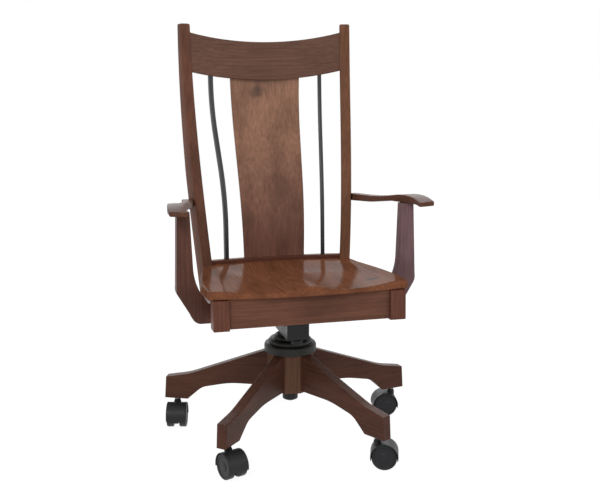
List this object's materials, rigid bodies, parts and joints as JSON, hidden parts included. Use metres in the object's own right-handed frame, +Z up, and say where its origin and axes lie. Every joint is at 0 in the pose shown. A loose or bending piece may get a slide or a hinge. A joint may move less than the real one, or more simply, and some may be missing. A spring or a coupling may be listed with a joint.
{
  "type": "swivel chair",
  "caption": "Wooden bankers swivel chair with a saddled seat, bent splat back, open arms, tilting height-adjustable column and a wooden star base on twin-wheel casters.",
  "frame": {"origin": "column axis at floor level", "axes": "+Z up along the column, -Y towards the seat's front, +X to the viewer's right when facing the chair"},
  "size_m": [0.6965, 0.6809, 1.1135],
  "materials": {
    "stained_wood": "stained, satin lacquer",
    "polished_wood": "stained, semi-gloss lacquer",
    "black_plastic": "satin",
    "black_metal": "satin black",
    "dark_bar": "semi-gloss black",
    "ground_steel": "ground",
    "bright_steel": "zinc plated",
    "rubber": "matt"
  },
  "bodies": {
    "base": {"base_hub": "stained_wood", "base_leg_1": "stained_wood", "base_leg_2": "stained_wood", "base_leg_3": "stained_wood", "base_leg_4": "stained_wood", "base_leg_5": "stained_wood", "leg_dowels": "stained_wood", "caster_sockets": "bright_steel", "hub_cover": "black_plastic", "column_tube": "black_metal", "guide_bush": "black_plastic", "thrust_bearing": "bright_steel"},
    "spindle": {"piston_rod": "ground_steel", "rod_clip": "bright_steel"},
    "lift": {"pressure_tube": "ground_steel", "tilt_housing": "black_metal", "tilt_axle": "bright_steel", "torsion_sleeve": "rubber"},
    "knob": {"tension_knob": "black_plastic"},
    "lever": {"height_lever": "black_metal"},
    "seat_frame": {"seat_plate": "black_metal", "plate_bolts": "bright_steel", "seat_bearer_left": "stained_wood", "seat_bearer_right": "stained_wood", "seat_screws": "bright_steel", "front_apron": "stained_wood", "rear_apron": "stained_wood", "side_apron_left": "stained_wood", "side_apron_right": "stained_wood", "front_post_left": "stained_wood", "front_post_right": "stained_wood", "corner_blocks": "stained_wood", "seat": "polished_wood", "back_post_left": "stained_wood", "back_post_right": "stained_wood", "back_rail": "stained_wood", "crest_rail": "stained_wood", "back_splat": "stained_wood", "back_bar_left": "dark_bar", "back_bar_right": "dark_bar", "arm_support_left": "stained_wood", "arm_support_right": "stained_wood", "arm_bolts": "bright_steel", "armrest_left": "polished_wood", "armrest_right": "polished_wood"},
    "caster_1": {"caster_body_1": "black_plastic"},
    "wheel_1a": {"caster_wheel_1a": "black_plastic"},
    "wheel_1b": {"caster_wheel_1b": "black_plastic"},
    "caster_2": {"caster_body_2": "black_plastic"},
    "wheel_2a": {"caster_wheel_2a": "black_plastic"},
    "wheel_2b": {"caster_wheel_2b": "black_plastic"},
    "caster_3": {"caster_body_3": "black_plastic"},
    "wheel_3a": {"caster_wheel_3a": "black_plastic"},
    "wheel_3b": {"caster_wheel_3b": "black_plastic"},
    "caster_4": {"caster_body_4": "black_plastic"},
    "wheel_4a": {"caster_wheel_4a": "black_plastic"},
    "wheel_4b": {"caster_wheel_4b": "black_plastic"},
    "caster_5": {"caster_body_5": "black_plastic"},
    "wheel_5a": {"caster_wheel_5a": "black_plastic"},
    "wheel_5b": {"caster_wheel_5b": "black_plastic"}
  },
  "joints": [
    {"name": "swivel", "type": "hinge", "parent": "base", "child": "spindle", "pos_m": [0, 0, 0.1], "axis": [0, 0, 1], "continuous": true},
    {"name": "height", "type": "slide", "parent": "spindle", "child": "lift", "axis": [0, 0, 1], "range_m": [0, 0.09]},
    {"name": "tension", "type": "hinge", "parent": "lift", "child": "knob", "pos_m": [0, -0.071, 0.278], "axis": [0, 0, 1], "range_deg": [-360, 360]},
    {"name": "lever_lift", "type": "hinge", "parent": "lift", "child": "lever", "pos_m": [-0.025, 0, 0.3415], "axis": [0, 1, 0], "range_deg": [0, 5], "stiffness_Nm_per_rad": 4, "springref_deg": -8.59},
    {"name": "tilt", "type": "hinge", "parent": "lift", "child": "seat_frame", "pos_m": [0, -0.062, 0.336], "axis": [-1, 0, 0], "range_deg": [0, 10], "stiffness_Nm_per_rad": 120, "springref_deg": -11.46},
    {"name": "caster_1_swivel", "type": "hinge", "parent": "base", "child": "caster_1", "pos_m": [0.03769, 0.32079, 0.07], "axis": [0, 0, 1], "continuous": true},
    {"name": "wheel_1a_roll", "type": "hinge", "parent": "caster_1", "child": "wheel_1a", "pos_m": [0.02077, 0.31464, 0.0325], "axis": [0.342, -0.9397, 0], "continuous": true},
    {"name": "wheel_1b_roll", "type": "hinge", "parent": "caster_1", "child": "wheel_1b", "pos_m": [0.02077, 0.31464, 0.0325], "axis": [0.342, -0.9397, 0], "continuous": true},
    {"name": "caster_2_swivel", "type": "hinge", "parent": "base", "child": "caster_2", "pos_m": [-0.29345, 0.13497, 0.07], "axis": [0, 0, 1], "continuous": true},
    {"name": "wheel_2a_roll", "type": "hinge", "parent": "caster_2", "child": "wheel_2a", "pos_m": [-0.29802, 0.11756, 0.0325], "axis": [0.9673, -0.2538, 0], "continuous": true},
    {"name": "wheel_2b_roll", "type": "hinge", "parent": "caster_2", "child": "wheel_2b", "pos_m": [-0.29802, 0.11756, 0.0325], "axis": [0.9673, -0.2538, 0], "continuous": true},
    {"name": "caster_3_swivel", "type": "hinge", "parent": "base", "child": "caster_3", "pos_m": [-0.21905, -0.23738, 0.07], "axis": [0, 0, 1], "continuous": true},
    {"name": "wheel_3a_roll", "type": "hinge", "parent": "caster_3", "child": "wheel_3a", "pos_m": [-0.2128, -0.25426, 0.0325], "axis": [0.9379, 0.3469, 0], "continuous": true},
    {"name": "wheel_3b_roll", "type": "hinge", "parent": "caster_3", "child": "wheel_3b", "pos_m": [-0.2128, -0.25426, 0.0325], "axis": [0.9379, 0.3469, 0], "continuous": true},
    {"name": "caster_4_swivel", "type": "hinge", "parent": "base", "child": "caster_4", "pos_m": [0.15807, -0.28168, 0.07], "axis": [0, 0, 1], "continuous": true},
    {"name": "wheel_4a_roll", "type": "hinge", "parent": "caster_4", "child": "wheel_4a", "pos_m": [0.17499, -0.28784, 0.0325], "axis": [0.342, 0.9397, 0], "continuous": true},
    {"name": "wheel_4b_roll", "type": "hinge", "parent": "caster_4", "child": "wheel_4b", "pos_m": [0.17499, -0.28784, 0.0325], "axis": [0.342, 0.9397, 0], "continuous": true},
    {"name": "caster_5_swivel", "type": "hinge", "parent": "base", "child": "caster_5", "pos_m": [0.31674, 0.06329, 0.07], "axis": [0, 0, 1], "continuous": true},
    {"name": "wheel_5a_roll", "type": "hinge", "parent": "caster_5", "child": "wheel_5a", "pos_m": [0.29901, 0.06642, 0.0325], "axis": [-0.1736, -0.9848, 0], "continuous": true},
    {"name": "wheel_5b_roll", "type": "hinge", "parent": "caster_5", "child": "wheel_5b", "pos_m": [0.29901, 0.06642, 0.0325], "axis": [-0.1736, -0.9848, 0], "continuous": true}
  ]
}
